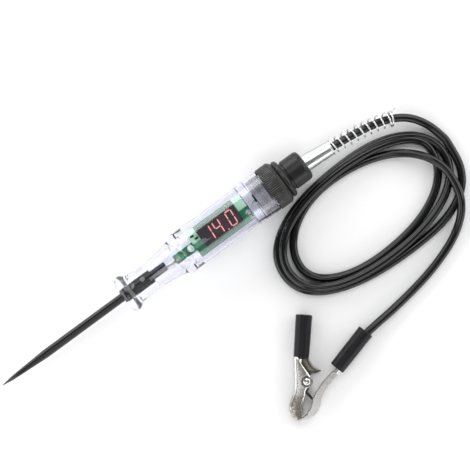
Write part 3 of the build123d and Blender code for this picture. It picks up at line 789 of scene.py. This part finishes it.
for name, rows in (
    ("jaw_channel", [jaw_row(*station) for station in jaw_stations]),
    ("jaw_tab", tab_rows((-2.85, 8.6), (-1.4, 31.0), 3.2)),
):
    formed = skin(name, rows)
    pressed(formed, sheet)
    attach(formed, "moving_jaw")
    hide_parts("clip_moving_jaw")
    cover(formed, paint["jaw"])

# The rivet: a domed head above and below, and its shank, as radii and heights from its middle.
rivet_outline = [(0.5, 3.93), (1.0, 3.84), (1.4, 3.7), (1.65, 3.56), (1.2, 3.5), (1.2, 0.0)]
rivet_outline += [(radius, -height) for radius, height in rivet_outline[-2::-1]]
round_steps = [2 * pi * i / 32 for i in range(32)]
rivet_rings = [[on_clip(radius * cos(t), radius * sin(t), height) for t in round_steps]
               for radius, height in rivet_outline]
domed_rivet = loft("domed_rivet", rivet_rings, sharp_angle=45)
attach(domed_rivet, "root")
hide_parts("clip_pivot_rivet")
cover(domed_rivet, paint["rivet"])


# A sleeve's outside, as (part of its length, what is added to its radius): a lip, a wavy wall and a lip.
sleeve_bore = 3.3
sleeve_waves = 12
sleeve_lip = [(0.0, -0.25), (0.012, -0.06), (0.03, 0.0)]
sleeve_wall = [(0.03 + 0.94 * i / sleeve_waves, 0.06 * sin(5.0 * i / sleeve_waves))
               for i in range(1, sleeve_waves)]
sleeve_outside = sleeve_lip + sleeve_wall + [(0.97, 0.0), (0.988, -0.06), (1.0, -0.25)]
sleeve_widening, sleeve_flattening = 1.035, 0.97
floor_clearance = 0.02


def sleeve(name, node, body, start, end, start_r, end_r):
    """A soft sleeve with a rolled lip at each end, a little flattened and wider towards its far end."""
    a, b = on_clip(*start, 0), on_clip(*end, 0)
    across = (b - a).normalized().cross(upwards)
    rows = [(along, start_r + (end_r - start_r) * along + swell) for along, swell in sleeve_outside]
    rows += [(along, sleeve_bore) for along in (1.0, 0.5, 0.0)]
    rings = []
    for along, radius in rows:
        wide = radius * sleeve_widening
        tall = min(radius * sleeve_flattening, clip_mid_z - floor_clearance)
        rings.append([
            a.lerp(b, along) + (across * cos(t) * wide + upwards * sin(t) * tall) * MM for t in round_steps
        ])
    tube = skin(name, rings, around=True)
    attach(tube, body)
    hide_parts(node)
    cover(tube, paint["sleeve"])
    return tube


moving_sleeve = sleeve("moving_sleeve_skin", "clip_moving_sleeve", "moving_jaw",
                       (-2.7, 11.35), (-1.25, 33.4), 3.7, 4.1)
fixed_sleeve = sleeve("fixed_sleeve_skin", "clip_fixed_sleeve", "root",
                      (15.25, 6.5), (29.95, 25.15), 3.8, 4.05)

# ------------------------------------------------------------------ floor, lights and world
def floor_sheet():
    """The plain pale floor."""
    half = 1.5
    corners = [(-half, -half, 0), (half, -half, 0), (half, half, 0), (-half, half, 0)]
    floor = new_mesh("floor", corners, [(0, 1, 2, 3)])
    material, nodes, links, shader, _ = shader_tree("pale_floor")
    where = place(nodes)
    drift = noise(nodes, links, where, 40)
    pale = blend_colour(nodes, links, drift, (0.93, 0.93, 0.93), (0.95, 0.95, 0.95))
    links.new(pale, shader.inputs["Base Color"])
    shader.inputs["Roughness"].default_value = 0.9
    shader.inputs["Specular IOR Level"].default_value = 0.1
    cover(floor, material)


def softbox(name, where, aim, size, glow):
    """A rectangular lamp, size[0] wide level with the floor; glow is how bright its face looks."""
    data = bpy.data.lights.new(name, "AREA")
    data.shape = "RECTANGLE"
    data.size, data.size_y = size
    data.energy = glow * pi * size[0] * size[1]
    back = (Vector(where) - Vector(aim)).normalized()
    side = upwards.cross(back)
    if side.length < 0.01:
        side = Vector((1, 0, 0))
    side.normalize()
    lamp = bpy.data.objects.new(name, data)
    turn = Matrix((side, back.cross(side), back)).transposed().to_4x4()
    lamp.matrix_world = Matrix.Translation(where) @ turn
    bpy.context.scene.collection.objects.link(lamp)


def studio_world():
    """A dim ceiling, so that black plastic stays black, and paler walls."""
    world = bpy.data.worlds.new("studio")
    world.use_nodes = True
    nodes, links = world.node_tree.nodes, world.node_tree.links
    nodes.clear()
    output = nodes.new("ShaderNodeOutputWorld")
    background = nodes.new("ShaderNodeBackground")
    where = nodes.new("ShaderNodeTexCoord").outputs["Generated"]
    _, _, z = coordinates(nodes, links, where)
    rise = ramp(nodes, links, z, 0.0, 1.0, 0.0, 0.8)
    sky = blend_colour(nodes, links, rise, (0.45, 0.45, 0.47), (0.14, 0.14, 0.14))
    links.new(sky, background.inputs["Color"])
    links.new(background.outputs["Background"], output.inputs["Surface"])
    bpy.context.scene.world = world


floor_sheet()
studio_world()
middle_of_view = (0.05, 0.0, 0.01)
softbox("north_side", (0.05, 0.95, 0.36), middle_of_view, (1.5, 0.62), 3.2)
softbox("south_side", (0.05, -0.95, 0.36), middle_of_view, (1.5, 0.62), 1.75)
softbox("east_side", (1.05, 0.0, 0.5), middle_of_view, (1.5, 0.8), 2.15)
softbox("west_side", (-0.95, 0.0, 0.5), middle_of_view, (1.5, 0.8), 2.15)
softbox("over_clip", (-0.19, -0.32, 0.95), (-0.19, -0.32, 0.0), (0.32, 0.42), 2.2)
softbox("over_coil", (0.38, 0.42, 0.95), (0.38, 0.42, 0.0), (0.50, 0.56), 3.2)
bpy.context.scene.view_settings.view_transform = "Standard"

# ------------------------------------------------------------------ update
bpy.context.view_layer.update()
